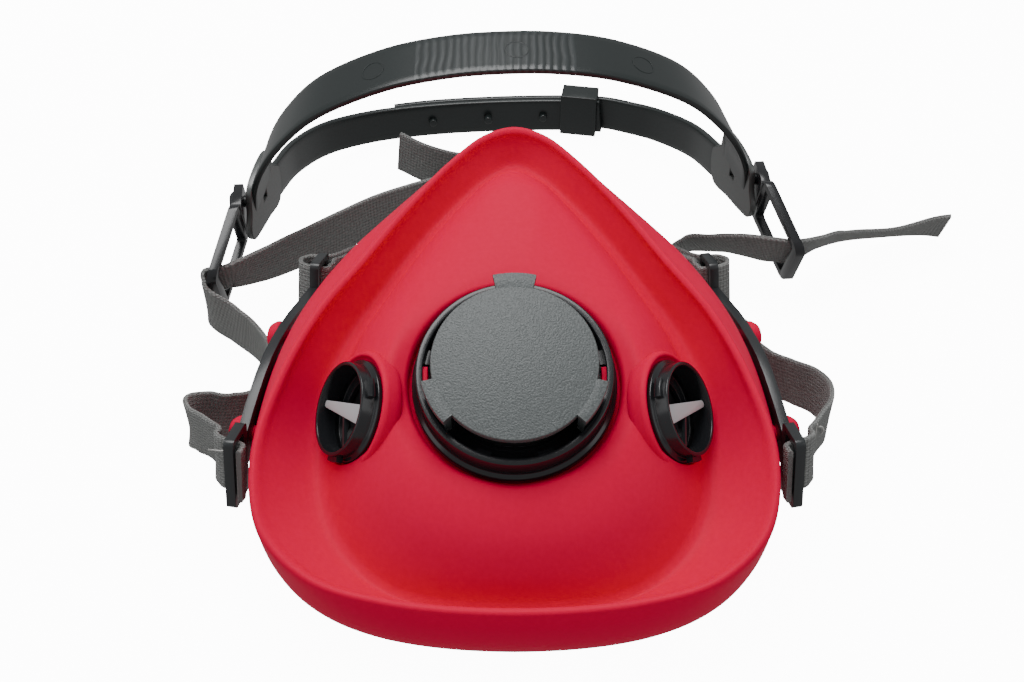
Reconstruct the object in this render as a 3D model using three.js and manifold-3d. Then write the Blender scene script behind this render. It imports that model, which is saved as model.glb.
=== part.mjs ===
// Half-face respirator with an elastic harness and head cradle, lying face seal down.
// Millimetres, +Z up. The chin points to -Y and the nose to +Y.
// The facepiece parts are drawn in the mask frame (x, u, n): u runs in the plane of the lip
// from the valve axis to the nose, and n stands square to that plane, outwards.
import * as THREE from "three";
import { mergeVertices } from "three/addons/utils/BufferGeometryUtils.js";
import Module from "manifold-3d";

const wasm = await Module();
wasm.setup();

const GAP = 0.3; // clearance between touching pieces
const ORIGIN_SHIFT = [-21.1, -55.8]; // moves the model so that its box is centred on the origin

// Facepiece. Radii are measured from the valve axis, one for each spoke.
const TILT = THREE.MathUtils.degToRad(20); // lip plane against the table, nose up
const LIP_HEIGHT = 41; // height of the lip plane at the valve axis
const SPOKES = [0, 6, 14, 28, 46, 66, 86, 104, 120, 134, 150, 180]; // degrees from the nose
const SHOULDER = [54, 53, 47, 38.5, 33, 30.5, 30, 30, 30.5, 31.5, 31.5, 31.5];
const CREASE = [67, 64, 58, 50.5, 45.5, 45, 46.5, 48.5, 52, 54, 54, 50.5];
const LIP = [75, 73, 67, 58.5, 53, 53.5, 57, 63.3, 67.5, 65.5, 59, 53.5];
const WALL = [74, 73, 70, 65, 62, 61, 62, 65, 68.3, 67.8, 63.5, 58.2];
const SEAL = [68, 67.5, 66, 63, 60.5, 59, 59.5, 61, 62.5, 61.5, 58, 54.5];
const SEAL_HEIGHT = [37, 36, 32, 21, 8, 1, 0, 0, 0, 0, 0, 0]; // of the seal over the table
const AROUND = 48; // points round each loop of the shell
const SKIN = 2.4; // wall thickness

const VALVE_SEAT = 3.5; // level of the flat that the exhalation valve sits on
const VALVE_HOLE = 19.5;
const RING_RADIUS = 22.9; // valve housing, outside
const RING_BORE = 21.2;
const RING_TOP = 13;
const COVER_RADIUS = 19.2;
const COVER_TOP = 18.7;
const COVER_THICKNESS = 1.8;

const PORT_SEAT = [37.5, -4.4, -0.9]; // centre of the right port's seat in the mask frame
const PORT_AXIS = [0.814, -0.044, 0.577]; // out of the right port
const PORT_RADIUS = 11.3;
const PORT_BORE = 10.4;
const PORT_LENGTH = 5;
const PORT_LUGS = [83, -37, -157]; // degrees from the nose towards the valve
const WEDGE_TURN = THREE.MathUtils.degToRad(27); // narrow end of the wedge, towards the nose
const PORT_HOLE = 10.7;
const NUT_RADIUS = 12;

// Harness bars: side plates buttoned on the facepiece's studs.
const BAR_THICKNESS = 2.4;
const BAR_WIDTH = 8.5;
const BAR_TURN = THREE.MathUtils.degToRad(10.7); // plan angle of the plate against Y
const BAR_X = 66.3; // outer face at y = 0
const BAR_SPINE = [[-9, 26], [-2, 27], [7, 29.5], [19, 31], [34, 28], [47, 23], [58, 18.5]];
const STUDS = [[1, 26.2], [33, 28]]; // along the plate and up
const LOWER_FRAME = [-9.5, 26, 10, 19.5, 15]; // centre along, centre up, length, height, lean
const UPPER_FRAME = [60.5, 19.2, 10, 19.5, 20];
const POST = 2.5;

// Head cradle, in a frame turned a little about Z.
const CRADLE_PLACE = [-4, 99.5];
const CRADLE_TURN = THREE.MathUtils.degToRad(4);
const CRADLE_THICKNESS = 1.8;
const CROWN_WIDTH = 16;
const REAR_WIDTH = 12;
const CROWN = [[69.8, 0, 24], [68.6, -1.2, 33], [65.6, -2.4, 41.5], [60, -3.4, 50.5], [50, -4.8, 60.8],
  [31, -6, 70], [14, -6.5, 73.6], [0, -6.7, 74.4]];
const REAR = [[69.2, 2, 21.5], [66.3, 14, 18.8], [61.6, 30, 14.4], [52.5, 44, 10.3], [38, 52.8, 7.6],
  [20, 57, 6.3], [0, 58, 6.05]];
const PLATE_X = 71; // at the knob
const PLATE_YAW = THREE.MathUtils.degToRad(14); // the plates close in towards the back
const PLATE = [[-13, 21], [-11.5, 17], [-7, 15.5], [2, 14], [13, 12.5], [15, 23], [10.5, 27.5], [8.4, 34],
  [-8.4, 33], [-10.8, 26]];
const KNOB = [-5.5, 26.5]; // hanger pivot, y and z in the cradle frame
const HANGER_ANGLE = THREE.MathUtils.degToRad(24); // hanger below the horizontal
const HANGER_SPLAY = Math.tan(THREE.MathUtils.degToRad(16)); // outward slope below the pivot
const HANGER_LENGTH = 27.5; // pivot to bottom bar
const HANGER_WIDTH = 21.6;
const HANGER_WALL = 2.6;
const HANGER_X = 75; // middle of the hanger's thickness at the pivot

// Elastic webbing.
const WEB_WIDTH = 15;
const WEB_THICKNESS = 1.3;

const RED = { color: 0xd80f33, roughness: 0.42, metalness: 0 };
const BLACK = { color: 0x101214, roughness: 0.25, metalness: 0 };
const CHARCOAL = { color: 0x4c5354, roughness: 0.5, metalness: 0 };
const LIGHT_GREY = { color: 0xa8a9ab, roughness: 0.4, metalness: 0 };
const CRADLE_GREEN = { color: 0x2c3635, roughness: 0.35, metalness: 0 };
const FLAP_GREY = { color: 0x8d9290, roughness: 0.6, metalness: 0 };
const WEBBING = { color: 0x6c6a6b, roughness: 0.95, metalness: 0 };

const root = new THREE.Group();
root.position.set(ORIGIN_SHIFT[0], ORIGIN_SHIFT[1], 0);
const mask = new THREE.Group();
mask.rotation.x = TILT;
mask.position.z = LIP_HEIGHT;
const cradle = new THREE.Group();
cradle.rotation.z = CRADLE_TURN;
cradle.position.set(CRADLE_PLACE[0], CRADLE_PLACE[1], 0);
root.add(mask, cradle);

const mix = (a, b, t) => a + (b - a) * t;
const vector = (p) => new THREE.Vector3(...p);

function add(group, name, geometry, look) {
  const mesh = new THREE.Mesh(geometry, new THREE.MeshStandardMaterial(look));
  mesh.name = name;
  group.add(mesh);
  return mesh;
}

// A closed geometry as a solid, turned right way out if its faces point in.
function solid(geometry) {
  const bare = new THREE.BufferGeometry();
  const flat = geometry.index ? geometry.toNonIndexed() : geometry;
  bare.setAttribute("position", flat.getAttribute("position"));
  const merged = mergeVertices(bare, 1e-4);
  const triVerts = new Uint32Array(merged.index.array);
  const mesh = { numProp: 3, vertProperties: merged.attributes.position.array, triVerts };
  const made = new wasm.Manifold(new wasm.Mesh(mesh));
  if (made.volume() > 0) return made;
  const turned = { ...mesh, triVerts: triVerts.slice().reverse() };
  return new wasm.Manifold(new wasm.Mesh(turned));
}

function shape(made) {
  const mesh = made.getMesh();
  const geometry = new THREE.BufferGeometry();
  const points = new THREE.BufferAttribute(new Float32Array(mesh.vertProperties), mesh.numProp);
  geometry.setAttribute("position", points);
  geometry.setIndex(new THREE.BufferAttribute(new Uint32Array(mesh.triVerts), 1));
  return geometry;
}

// Moves a geometry by a matrix and keeps its faces pointing out when the matrix mirrors it.
function placed(geometry, matrix) {
  const moved = geometry.clone().applyMatrix4(matrix);
  if (matrix.determinant() > 0) return moved;
  const index = moved.index.array;
  for (let i = 0; i < index.length; i += 3) [index[i], index[i + 1]] = [index[i + 1], index[i]];
  return moved;
}

const join = (...geometries) => geometries.map(solid).reduce((a, b) => a.add(b));

// A solid of revolution about +Z from a closed profile of [radius, height] pairs.
function turned(profile, segments = 36) {
  const points = [...profile, profile[0]].map(([r, z]) => new THREE.Vector2(r, z));
  return new THREE.LatheGeometry(points, segments).rotateX(Math.PI / 2);
}

// A disc or ring between two heights.
function ring(inner, outer, low, high, segments = 36) {
  return turned([[inner, low], [outer, low], [outer, high], [inner, high]], segments);
}

function rod(radius, low, high, segments = 20) {
  const made = new THREE.CylinderGeometry(radius, radius, high - low, segments);
  return made.rotateX(Math.PI / 2).translate(0, 0, (low + high) / 2);
}

// A wall that follows an arc round +Z; angles are in degrees from +Y towards +X.
function arcWall(inner, outer, from, to, low, high) {
  const outline = new THREE.Shape();
  const start = Math.PI / 2 - THREE.MathUtils.degToRad(to);
  const end = Math.PI / 2 - THREE.MathUtils.degToRad(from);
  outline.absarc(0, 0, outer, start, end, false);
  outline.absarc(0, 0, inner, end, start, true);
  const options = { depth: high - low, bevelEnabled: false, curveSegments: 5 };
  return new THREE.ExtrudeGeometry(outline, options).translate(0, 0, low);
}

// Joins rows of points into one closed surface. The rows are closed loops; ring joins the last
// row to the first, otherwise both end rows are closed with a fan.
function loft(rows, isRing) {
  const count = rows[0].length;
  const points = rows.flat().flatMap((p) => [p.x, p.y, p.z]);
  const index = [];
  const last = isRing ? rows.length : rows.length - 1;
  for (let j = 0; j < last; j++) {
    for (let i = 0; i < count; i++) {
      const a = j * count + i;
      const b = j * count + ((i + 1) % count);
      const c = ((j + 1) % rows.length) * count + i;
      const d = ((j + 1) % rows.length) * count + ((i + 1) % count);
      index.push(a, b, d, a, d, c);
    }
  }
  if (!isRing) {
    const end = (rows.length - 1) * count;
    for (let i = 1; i < count - 1; i++) {
      index.push(0, i + 1, i);
      index.push(end, end + i, end + i + 1);
    }
  }
  const geometry = new THREE.BufferGeometry();
  geometry.setAttribute("position", new THREE.Float32BufferAttribute(points, 3));
  geometry.setIndex(index);
  return geometry;
}

// A strip of rectangular section along a curve through [x, y, z, lean] points. The lean is the
// angle in degrees by which the strip's width leans from upright about its own run.
function ribbon(points, width, thickness, steps) {
  const curve = new THREE.CatmullRomCurve3(points.map((p) => vector(p.slice(0, 3))));
  curve.curveType = "catmullrom";
  const up = new THREE.Vector3(0, 0, 1);
  const leanAt = (i) => points[i][3] ?? 0;
  const rows = [];
  for (let k = 0; k <= steps; k++) {
    const at = curve.getPoint(k / steps);
    const along = curve.getTangent(k / steps);
    const upright = up.clone().addScaledVector(along, -up.dot(along)).normalize();
    const side = along.clone().cross(upright);
    const place = (k / steps) * (points.length - 1);
    const first = Math.min(Math.floor(place), points.length - 2);
    const lean = THREE.MathUtils.degToRad(mix(leanAt(first), leanAt(first + 1), place - first));
    const across = upright.multiplyScalar(Math.cos(lean)).addScaledVector(side, Math.sin(lean));
    const out = along.cross(across);
    const corner = (i, j) => at.clone().addScaledVector(across, (i * width) / 2)
      .addScaledVector(out, (j * thickness) / 2);
    rows.push([corner(1, 1), corner(-1, 1), corner(-1, -1), corner(1, -1)]);
  }
  return loft(rows, false);
}

// ---------------------------------------------------------------- facepiece shell

// Level n at which a point of the mask frame, u along the lip plane, has a given height.
const levelAt = (height, u) => (height - LIP_HEIGHT - u * Math.sin(TILT)) / Math.cos(TILT);

// A closed loop of the shell. place gives [radius, level] for a spoke and its angle.
function loop(place) {
  const half = SPOKES.map((degrees, i) => {
    const angle = THREE.MathUtils.degToRad(degrees);
    const [radius, level] = place(i, angle);
    return new THREE.Vector3(radius * Math.sin(angle), radius * Math.cos(angle), level);
  });
  const mirrored = half.slice(1, -1).reverse().map((p) => new THREE.Vector3(-p.x, p.y, p.z));
  const curve = new THREE.CatmullRomCurve3([...half, ...mirrored], true, "catmullrom", 0.5);
  const points = Array.from({ length: AROUND }, (_, k) => curve.getPoint(k / AROUND));
  for (const p of points) p.z = Math.max(p.z, levelAt(0, p.y));
  return points;
}

function shoulderLevel(a) {
  const toNose = Math.max(0, Math.cos(a));
  const toChin = Math.max(0, -Math.cos(a));
  return 8.2 - 5.2 * toNose ** 2 - 1.4 * toChin ** 2;
}
const creaseLevel = (a) => -7.5 - 3.5 * Math.sin(a) ** 2;
const sealLoop = (inset, rise) => loop((i, a) => {
  const radius = SEAL[i] - inset;
  return [radius, levelAt(SEAL_HEIGHT[i] + rise, radius * Math.cos(a))];
});
const wallLow = (inset) => loop((i, a) => {
  const back = levelAt(SEAL_HEIGHT[i], SEAL[i] * Math.cos(a));
  return [mix(WALL[i], SEAL[i], 0.45) + 0.6 - inset, mix(-14, back, 0.5)];
});

function shellRows() {
  const outside = [
    loop(() => [VALVE_HOLE, VALVE_SEAT]),
    loop(() => [24.7, VALVE_SEAT]),
    loop(() => [25.1, VALVE_SEAT + 2]),
    loop(() => [26.3, VALVE_SEAT + 3.6]),
    loop((i, a) => [SHOULDER[i], shoulderLevel(a)]),
    loop((i, a) => [mix(SHOULDER[i], CREASE[i], 0.35), mix(shoulderLevel(a), creaseLevel(a), 0.3) + 1.6]),
    loop((i, a) => [mix(SHOULDER[i], CREASE[i], 0.7), mix(shoulderLevel(a), creaseLevel(a), 0.7) + 1.7]),
    loop((i, a) => [CREASE[i] - 1.8, creaseLevel(a) + 1.6]),
    loop((i, a) => [CREASE[i], creaseLevel(a)]),
    loop((i, a) => [mix(CREASE[i], LIP[i], 0.4), creaseLevel(a) * 0.7]),
    loop((i, a) => [mix(CREASE[i], LIP[i], 0.78), creaseLevel(a) * 0.24]),
    loop((i) => [LIP[i] - 0.6, 0]),
    loop((i) => [LIP[i] + 0.5, -1]),
    loop((i) => [mix(LIP[i] + 0.8, WALL[i], 0.55), -6]),
    loop((i) => [WALL[i], -14]),
    wallLow(0),
    sealLoop(-0.3, 4),
    sealLoop(1, 0.9),
    sealLoop(2.2, 0),
    sealLoop(4.2, 0),
    sealLoop(9, 2.4),
    sealLoop(15, 8),
  ];
  const inside = [
    sealLoop(14.4, 9.6),
    sealLoop(9, 4.3),
    sealLoop(4.8, 2.2),
    sealLoop(2.3, 4.8),
    wallLow(SKIN),
    loop((i) => [WALL[i] - SKIN, -14]),
    loop((i, a) => [mix(CREASE[i], LIP[i], 0.72), creaseLevel(a) * 0.4 - SKIN]),
    loop((i, a) => [CREASE[i] - 0.5, creaseLevel(a) - SKIN]),
    loop((i, a) => [mix(SHOULDER[i], CREASE[i], 0.6) - 1, mix(shoulderLevel(a), creaseLevel(a), 0.7) - 0.2]),
    loop((i, a) => [SHOULDER[i] - 1.8, shoulderLevel(a) - SKIN]),
    loop(() => [25, VALVE_SEAT - SKIN]),
    loop(() => [VALVE_HOLE, VALVE_SEAT - SKIN]),
  ];
  return [...outside, ...inside];
}

// Places a geometry drawn about +Z on a port's axis, in the mask frame; side is 1 or -1.
// Its +Y then points to the nose, and +X times side points away from the valve.
function portMatrix(side) {
  const axis = new THREE.Vector3(PORT_AXIS[0] * side, PORT_AXIS[1], PORT_AXIS[2]).normalize();
  const nose = new THREE.Vector3(0, 1, 0).addScaledVector(axis, -axis.y).normalize();
  const seat = new THREE.Vector3(PORT_SEAT[0] * side, PORT_SEAT[1], PORT_SEAT[2]);
  return new THREE.Matrix4().makeBasis(nose.clone().cross(axis), nose, axis).setPosition(seat);
}

// Places a geometry drawn about +Z on a stud's axis, in the mask frame.
function studMatrix([along, up], side) {
  const world = barMatrix(side).multiply(new THREE.Matrix4().makeTranslation(along, up, 0));
  const toMask = new THREE.Matrix4().makeRotationX(-TILT);
  return toMask.multiply(new THREE.Matrix4().makeTranslation(0, 0, -LIP_HEIGHT)).multiply(world);
}

// The bar's own frame: x along the plate towards +Y, y up, z outwards; z = 0 is the outer face.
function barMatrix(side) {
  const along = new THREE.Vector3(-Math.sin(BAR_TURN) * side, Math.cos(BAR_TURN), 0);
  const up = new THREE.Vector3(0, 0, 1);
  const out = new THREE.Vector3(Math.cos(BAR_TURN) * side, Math.sin(BAR_TURN), 0);
  return new THREE.Matrix4().makeBasis(along, up, out).setPosition(BAR_X * side, 0, 0);
}

function studSolid(place, side) {
  const reach = place === STUDS[0] ? 7 : 10;
  const shank = [[0, -reach], [3.2, -reach], [2, -3.6], [2, GAP]];
  const profile = [...shank, [3.9, GAP], [3.9, 1.6], [2.6, 3.4], [0, 3.9]];
  return solid(turned(profile, 16).applyMatrix4(studMatrix(place, side)));
}

function facepiece() {
  const boss = [[0, -4], [14.2, -4], [14.8, -3], [14.8, 0.2], [14.2, 0.9], [13.6, 0.9], [13, 0], [0, 0]];
  let body = solid(loft(shellRows(), true));
  for (const side of [-1, 1]) {
    const place = portMatrix(side);
    body = body.subtract(solid(rod(13, 0, 5, 30).applyMatrix4(place)));
    body = body.add(solid(turned(boss, 30).applyMatrix4(place)));
    body = body.subtract(solid(rod(PORT_HOLE, -8.6, 8, 30).applyMatrix4(place)));
    body = body.subtract(solid(rod(NUT_RADIUS + GAP, -6.3, -4, 30).applyMatrix4(place)));
    for (const stud of STUDS) body = body.add(studSolid(stud, side));
  }
  return shape(body);
}
add(mask, "facepiece", facepiece(), RED);

// ---------------------------------------------------------------- exhalation valve

const SEAT_RING = 7.6; // level of the raised ring that the flap closes on

function valveSeat() {
  const base = VALVE_SEAT + GAP;
  const housing = turned([
    [17.6, -3], [19.1, -3], [19.1, base], [24.1, base], [24.1, 6.2], [RING_RADIUS, 7],
    [RING_RADIUS, RING_TOP - 0.4], [RING_RADIUS - 0.4, RING_TOP], [RING_BORE + 0.4, RING_TOP],
    [RING_BORE, RING_TOP - 0.4], [RING_BORE, 6.4], [15.8, 6.4], [15.8, SEAT_RING], [14.2, SEAT_RING],
    [14.2, 4.6], [17.6, 4.6],
  ]);
  const parts = [housing, rod(2.4, 4.6, 7), rod(1, 6, 11), rod(1.9, 10.6, 11.4)];
  for (let k = 0; k < 3; k++) {
    parts.push(new THREE.BoxGeometry(29.5, 2, 1.8).translate(0, 0, 5.5).rotateZ((k * Math.PI) / 3));
  }
  for (const at of [38, 78, 160, -38, -78, -160]) {
    parts.push(arcWall(19.8, RING_BORE + 0.3, at - 5, at + 5, 10.2, 11.4));
  }
  return shape(join(...parts));
}

// Round disc with three tabs; each tab has a leg that stands inside the housing.
function valveCover() {
  const low = COVER_TOP - COVER_THICKNESS;
  const disc = turned([[0, low], [COVER_RADIUS, low], [COVER_RADIUS, COVER_TOP - 0.5],
    [COVER_RADIUS - 0.5, COVER_TOP], [0, COVER_TOP]]);
  const parts = [disc];
  for (const [from, to, reach] of [[-13, 13, 22.8], [103, 133, 21.8], [-133, -103, 21.8]]) {
    parts.push(arcWall(COVER_RADIUS - 1, reach, from, to, low, COVER_TOP - 0.2));
    parts.push(arcWall(COVER_RADIUS - 0.2, 20.8, from + 2, to - 2, 9, low + 0.5));
  }
  return shape(join(...parts));
}

add(mask, "exhalation_valve_seat", valveSeat(), BLACK);
add(mask, "exhalation_flap", ring(1.4, 16.6, SEAT_RING + GAP, SEAT_RING + GAP + 0.7), FLAP_GREY);
add(mask, "valve_cover", valveCover(), CHARCOAL);
add(mask, "exhalation_clamp_ring", ring(19.4, 24, -1.8, VALVE_SEAT - SKIN - GAP), BLACK);

// ---------------------------------------------------------------- inhalation ports

const PORT_FLOOR = -1.2;

function portBody(side) {
  const tube = turned([
    [PORT_BORE, PORT_LENGTH], [PORT_RADIUS, PORT_LENGTH], [PORT_RADIUS, 1.7], [12.5, 1.3], [12.5, GAP],
    [PORT_HOLE - GAP, GAP], [PORT_HOLE - GAP, -8], [9.4, -8], [9.4, -2.6], [8, -2.6], [8, PORT_FLOOR],
    [PORT_BORE, PORT_FLOOR],
  ], 30);
  const parts = [tube, rod(1.9, -2.6, PORT_FLOOR + 0.4), rod(0.8, -5.6, -2), rod(1.6, -6.2, -5.4)];
  for (let k = 0; k < 3; k++) {
    const spoke = new THREE.BoxGeometry(1.6, 8.6, 1.2).translate(0, 4.3, -1.9);
    parts.push(spoke.rotateZ((k * 2 * Math.PI) / 3));
  }
  for (const at of PORT_LUGS) {
    const turn = -side * at;
    parts.push(arcWall(PORT_RADIUS - 0.4, 12.7, turn - 11, turn + 11, 2.2, 3.9));
  }
  return shape(join(...parts));
}

// Wedge-shaped arm across the bore, narrow at the outer end, with a small arm to the chin.
function portRetainer(side) {
  const reach = PORT_BORE - GAP;
  const wedge = new THREE.Shape();
  wedge.moveTo(-side * reach * 0.97, 2.5);
  wedge.lineTo(side * (reach - 0.9), 0.9);
  wedge.absarc(side * (reach - 0.9), 0, 0.9, Math.PI / 2, -Math.PI / 2, side > 0);
  wedge.lineTo(-side * reach * 0.97, -2.5);
  wedge.closePath();
  const arm = new THREE.ExtrudeGeometry(wedge, { depth: 1, bevelEnabled: false, curveSegments: 8 });
  arm.rotateZ(side * WEDGE_TURN);
  const stem = new THREE.BoxGeometry(0.6, reach, 1).translate(0, -reach / 2 + 0.2, 0.5);
  return shape(join(arm, stem).translate(0, 0, 2.6));
}

for (const [label, side] of [["left", -1], ["right", 1]]) {
  const place = portMatrix(side);
  add(mask, `port_${label}`, portBody(side).applyMatrix4(place), BLACK);
  add(mask, `port_retainer_${label}`, portRetainer(side).applyMatrix4(place), LIGHT_GREY);
  add(mask, `inhalation_flap_${label}`, ring(1.1, 9.1, -3.4, -2.9, 28).applyMatrix4(place), FLAP_GREY);
  add(mask, `port_nut_${label}`, ring(PORT_HOLE, NUT_RADIUS, -6, -4 - GAP, 28).applyMatrix4(place), BLACK);
}

// ---------------------------------------------------------------- harness bars

// Outline of a strip of constant width along a spine, in the bar's frame.
function spineShape() {
  const points = BAR_SPINE.map(([y, z]) => new THREE.Vector3(y, z, 0));
  const curve = new THREE.CatmullRomCurve3(points, false, "catmullrom", 0.5);
  const sides = [[], []];
  const steps = 14;
  for (let k = 0; k <= steps; k++) {
    const at = curve.getPoint(k / steps);
    const along = curve.getTangent(k / steps);
    const normal = new THREE.Vector2(-along.y, along.x).multiplyScalar(BAR_WIDTH / 2);
    sides[0].push(new THREE.Vector2(at.x + normal.x, at.y + normal.y));
    sides[1].push(new THREE.Vector2(at.x - normal.x, at.y - normal.y));
  }
  return new THREE.Shape([...sides[0], ...sides[1].reverse()]);
}

function rectangle(centre, size, corner) {
  const [x, y] = [centre[0] - size[0] / 2, centre[1] - size[1] / 2];
  const made = new THREE.Shape();
  made.absarc(x + size[0] - corner, y + size[1] - corner, corner, 0, Math.PI / 2, false);
  made.absarc(x + corner, y + size[1] - corner, corner, Math.PI / 2, Math.PI, false);
  made.absarc(x + corner, y + corner, corner, Math.PI, Math.PI * 1.5, false);
  made.absarc(x + size[0] - corner, y + corner, corner, Math.PI * 1.5, Math.PI * 2, false);
  return made;
}

function slab(outline, depth) {
  return new THREE.ExtrudeGeometry(outline, { depth, bevelEnabled: false, curveSegments: 6 });
}

// Leans a piece drawn round the middle of a strap frame and moves it into the bar's frame.
function leaned(geometry, [along, up, , , lean]) {
  return geometry.rotateZ(-THREE.MathUtils.degToRad(lean)).translate(along, up, 0);
}

function harnessBar(side) {
  const frames = [LOWER_FRAME, UPPER_FRAME];
  const cut = BAR_THICKNESS + 2;
  const border = (f) => leaned(slab(rectangle([0, 0], [f[2], f[3]], 1.6), BAR_THICKNESS), f);
  const plates = [slab(spineShape(), BAR_THICKNESS), ...frames.map(border)];
  let body = plates.map(solid).reduce((a, b) => a.add(b));
  for (const frame of frames) {
    const slot = slab(rectangle([0, 0], [frame[2] - 2 * POST, WEB_WIDTH + 0.8], 0.6), cut);
    body = body.subtract(solid(leaned(slot.translate(0, 0, -1), frame)));
  }
  for (const [along, up] of STUDS) {
    body = body.subtract(solid(rod(2 + GAP, -1, cut - 1, 20).translate(along, up, 0)));
  }
  return placed(shape(body).translate(0, 0, -BAR_THICKNESS), barMatrix(side));
}

for (const [label, side] of [["left", -1], ["right", 1]]) {
  add(root, `harness_bar_${label}`, harnessBar(side), BLACK);
}

// ---------------------------------------------------------------- head cradle

// Runs a band from one side to the other through mirrored half points.
const mirrored = (half) => [...half.map(([x, y, z]) => [-x, y, z]), ...half.slice(0, -1).reverse()];

function crownBand() {
  const curve = new THREE.CatmullRomCurve3(mirrored(CROWN).map(vector), false, "catmullrom", 0.5);
  const rows = [];
  const steps = 44;
  for (let k = 0; k <= steps; k++) {
    const at = curve.getPoint(k / steps);
    const yaw = PLATE_YAW * (at.x / CROWN[0][0]) ** 3;
    const width = new THREE.Vector3(-Math.sin(yaw), Math.cos(yaw), 0.12).setLength(CROWN_WIDTH / 2);
    const out = curve.getTangent(k / steps).cross(width).setLength(CRADLE_THICKNESS / 2);
    const corner = (a, b) => at.clone().addScaledVector(width, a).addScaledVector(out, b);
    rows.push([corner(1, 1), corner(1, -1), corner(-1, -1), corner(-1, 1)]);
  }
  return loft(rows, false);
}

// The rear band is two tails that overlap behind the head: the left one lies inside.
const LEFT_TAIL = [[29.5, 55.4, 6.8], [36, 53.4, 7.4]]; // free end of the inner layer
const RIGHT_TAIL = [[52.5, 44, 10.3], [45, 50.4, 8.6], [38, 54.8, 7.6], [29.5, 57.4, 6.8], [20, 58.9, 6.3],
  [0, 59.9, 6.05], [-20, 58.9, 6.3], [-31, 56.7, 6.9]]; // outer layer
const PEGS = [-18.5, -0.5, 17.5];
const KEEPER = [29.5, 56.6, 7.8]; // middle of the keeper that holds the two layers
const rearHalf = (side) => REAR.map(([x, y, z]) => [side * x, y, z]);

function rearTail(points) {
  return ribbon(points, REAR_WIDTH, CRADLE_THICKNESS, 30);
}

function sidePlate(side) {
  const outline = new THREE.Shape(PLATE.map(([y, z]) => new THREE.Vector2(y, z)));
  const hole = rectangle([1, 23.5], [3, 3], 0.2);
  outline.holes.push(new THREE.Path(hole.getPoints(2)));
  const plate = slab(outline, CRADLE_THICKNESS).translate(-KNOB[0], 0, -CRADLE_THICKNESS / 2);
  plate.rotateY(PLATE_YAW).translate(KNOB[0], 0, 0);
  const knob = turned([[0, -0.6], [1.6, -0.6], [1.6, 5.3], [2.6, 5.3], [2.6, 6.2], [1.6, 6.9], [0, 6.9]], 20);
  knob.translate(KNOB[0], KNOB[1], 0);
  const upright = new THREE.Matrix4().makeBasis(
    new THREE.Vector3(0, 1, 0), new THREE.Vector3(0, 0, 1), new THREE.Vector3(side, 0, 0));
  return placed(shape(join(plate, knob)), upright).translate(side * PLATE_X, 0, 0);
}

function headCradle() {
  const left = [...rearHalf(-1), ...rearHalf(1).slice(-2, -1), ...LEFT_TAIL];
  const right = [...rearHalf(1).slice(0, 3), ...RIGHT_TAIL];
  const parts = [crownBand(), rearTail(left), rearTail(right), sidePlate(-1), sidePlate(1)];
  for (const x of PEGS) {
    parts.push(rod(1.3, 0, 2.6, 14).rotateX(-Math.PI / 2).translate(x, 54.8, 6.2));
  }
  const sleeve = new THREE.BoxGeometry(12, 7.4, REAR_WIDTH + 3);
  const window = new THREE.BoxGeometry(14, 4.1, REAR_WIDTH - 0.6).translate(0, 0, -0.9);
  for (const made of [sleeve, window]) made.rotateZ(-0.23).translate(...KEEPER);
  return shape(join(...parts).add(solid(sleeve).subtract(solid(window))));
}
add(cradle, "head_cradle", headCradle(), CRADLE_GREEN);

// ---------------------------------------------------------------- hangers

// Drawn in its own plane with the pivot at the origin and the bottom bar at -Y. The head is flat
// and the strap frame below it slopes outwards.
function hanger(side) {
  const bottom = -HANGER_LENGTH - HANGER_WALL / 2;
  const half = HANGER_WIDTH / 2;
  const edge = half - 2;
  const points = [[edge, -6.5], [edge, -4.5], [4, 3.6], [-4, 3.6], [-edge, -4.5], [-edge, -6.5]];
  const head = new THREE.Shape(points.map(([x, y]) => new THREE.Vector2(x, y)));
  head.holes.push(new THREE.Path().absarc(0, 0, 1.6 + GAP, 0, Math.PI * 2, true));
  const frame = rectangle([0, (bottom - 5) / 2], [HANGER_WIDTH, -5 - bottom], 3.2);
  const windowSize = [HANGER_WIDTH - 2 * HANGER_WALL, -8 - bottom - HANGER_WALL];
  const window = rectangle([0, (bottom + HANGER_WALL - 8) / 2], windowSize, 1);
  frame.holes.push(new THREE.Path(window.getPoints(6)));
  const slope = new THREE.Matrix4().makeShear(0, 0, 0, -side * HANGER_SPLAY, 0, 0);
  slope.setPosition(0, 0, -side * HANGER_SPLAY * 5);
  const sloped = slab(frame, HANGER_WALL).applyMatrix4(slope);
  return shape(join(slab(head, HANGER_WALL), sloped).translate(0, 0, -HANGER_WALL / 2));
}

for (const [label, side] of [["left", -1], ["right", 1]]) {
  const down = new THREE.Vector3(0, Math.cos(HANGER_ANGLE), Math.sin(HANGER_ANGLE));
  const out = new THREE.Vector3(1, 0, 0);
  const place = new THREE.Matrix4().makeBasis(down.clone().cross(out), down, out);
  const mesh = add(cradle, `hanger_${label}`, hanger(side).applyMatrix4(place), BLACK);
  mesh.position.set(side * HANGER_X, KNOB[0], KNOB[1]);
}

// ---------------------------------------------------------------- webbing

const webbing = (name, points, steps) =>
  add(root, name, ribbon(points, WEB_WIDTH, WEB_THICKNESS, steps), WEBBING);

// The end behind a lower frame, and the sewn loop round an upper post.
// Each point is along the bar from the middle of the frame's slot, and out from the bar's face.
const LOWER_LOOP = [[-4.6, -3.5], [-2.6, -3.6], [-1, -3.2], [-0.2, -1.6], [0, 0.6],
  [0.6, 2.6], [2.4, 4.4], [5.5, 5]];
const UPPER_LOOP = [[10.8, -5.8], [7.3, -4.1], [3.5, -4.2], [0.6, -3.8], [-0.4, -1.2], [0, 2], [2, 4.6],
  [5, 5], [7.2, 3.2], [7.9, 0.4], [9.2, -2], [12, -4.3]];

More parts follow.
